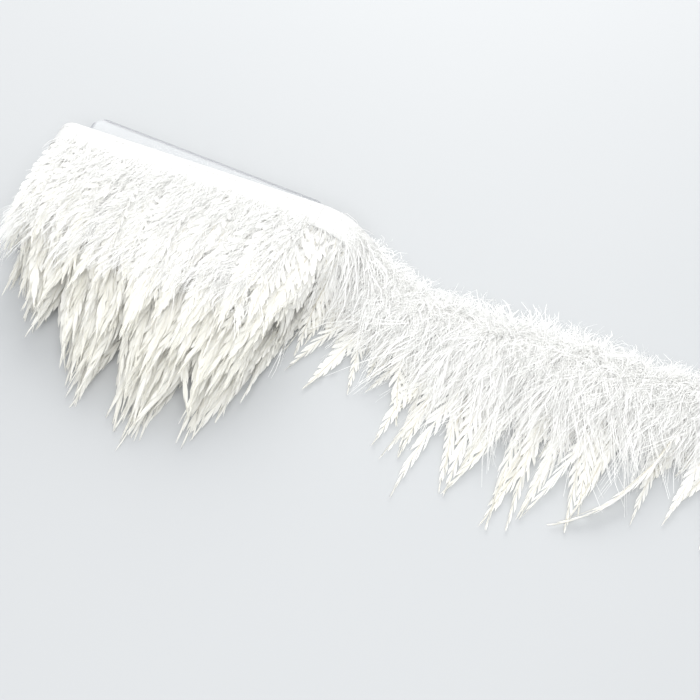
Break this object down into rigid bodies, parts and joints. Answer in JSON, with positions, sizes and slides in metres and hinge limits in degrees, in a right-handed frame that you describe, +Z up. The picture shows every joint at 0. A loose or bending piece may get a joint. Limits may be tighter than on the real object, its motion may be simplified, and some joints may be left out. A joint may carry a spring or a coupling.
{
  "type": "feather boa",
  "caption": "Feather boa of one-sided white feather fringe on a ribbon header, wound flat on a clear card with its free end let down beside it.",
  "frame": {"origin": "centre of the coil's box on the surface it lies on, without the free end", "axes": "+X along the header towards the free end, +Y from the feather tips towards the header and the card's bare edge, +Z up"},
  "size_m": [0.3771, 0.1552, 0.036],
  "materials": {
    "clear_card": "clear, smooth",
    "satin_ribbon": "woven satin",
    "quill_ends": "bound quills",
    "sewing_thread": "twisted thread",
    "feather": "soft vane and down"
  },
  "bodies": {
    "boa": {"wound_tape_inner": "satin_ribbon", "wound_quill_row": "quill_ends", "wound_tape_outer": "satin_ribbon", "wound_stitch_upper": "sewing_thread", "wound_stitch_lower": "sewing_thread", "start_fold": "satin_ribbon", "top_feathers_turn_1": "feather", "top_feathers_turn_2": "feather", "top_feathers_turn_3": "feather", "top_feathers_turn_4": "feather", "top_feathers_turn_5": "feather", "top_feathers_turn_6": "feather", "back_feathers_turn_1": "feather", "back_feathers_turn_2": "feather", "back_feathers_turn_3": "feather", "back_feathers_turn_4": "feather", "back_feathers_turn_5": "feather", "back_feathers_turn_6": "feather", "tail_tape_inner": "satin_ribbon", "tail_quill_row": "quill_ends", "tail_tape_outer": "satin_ribbon", "tail_stitch_upper": "sewing_thread", "tail_stitch_lower": "sewing_thread", "tail_end_fold": "satin_ribbon", "tail_feathers_1": "feather", "tail_feathers_2": "feather", "tail_feathers_3": "feather", "tail_feathers_4": "feather", "tail_feathers_5": "feather", "tail_feathers_6": "feather"},
    "card": {"winding_card": "clear_card"}
  },
  "joints": [
    {"name": "card_slide", "type": "slide", "parent": "boa", "child": "card", "axis": [0, 1, 0], "range_m": [0, 0.082]}
  ]
}
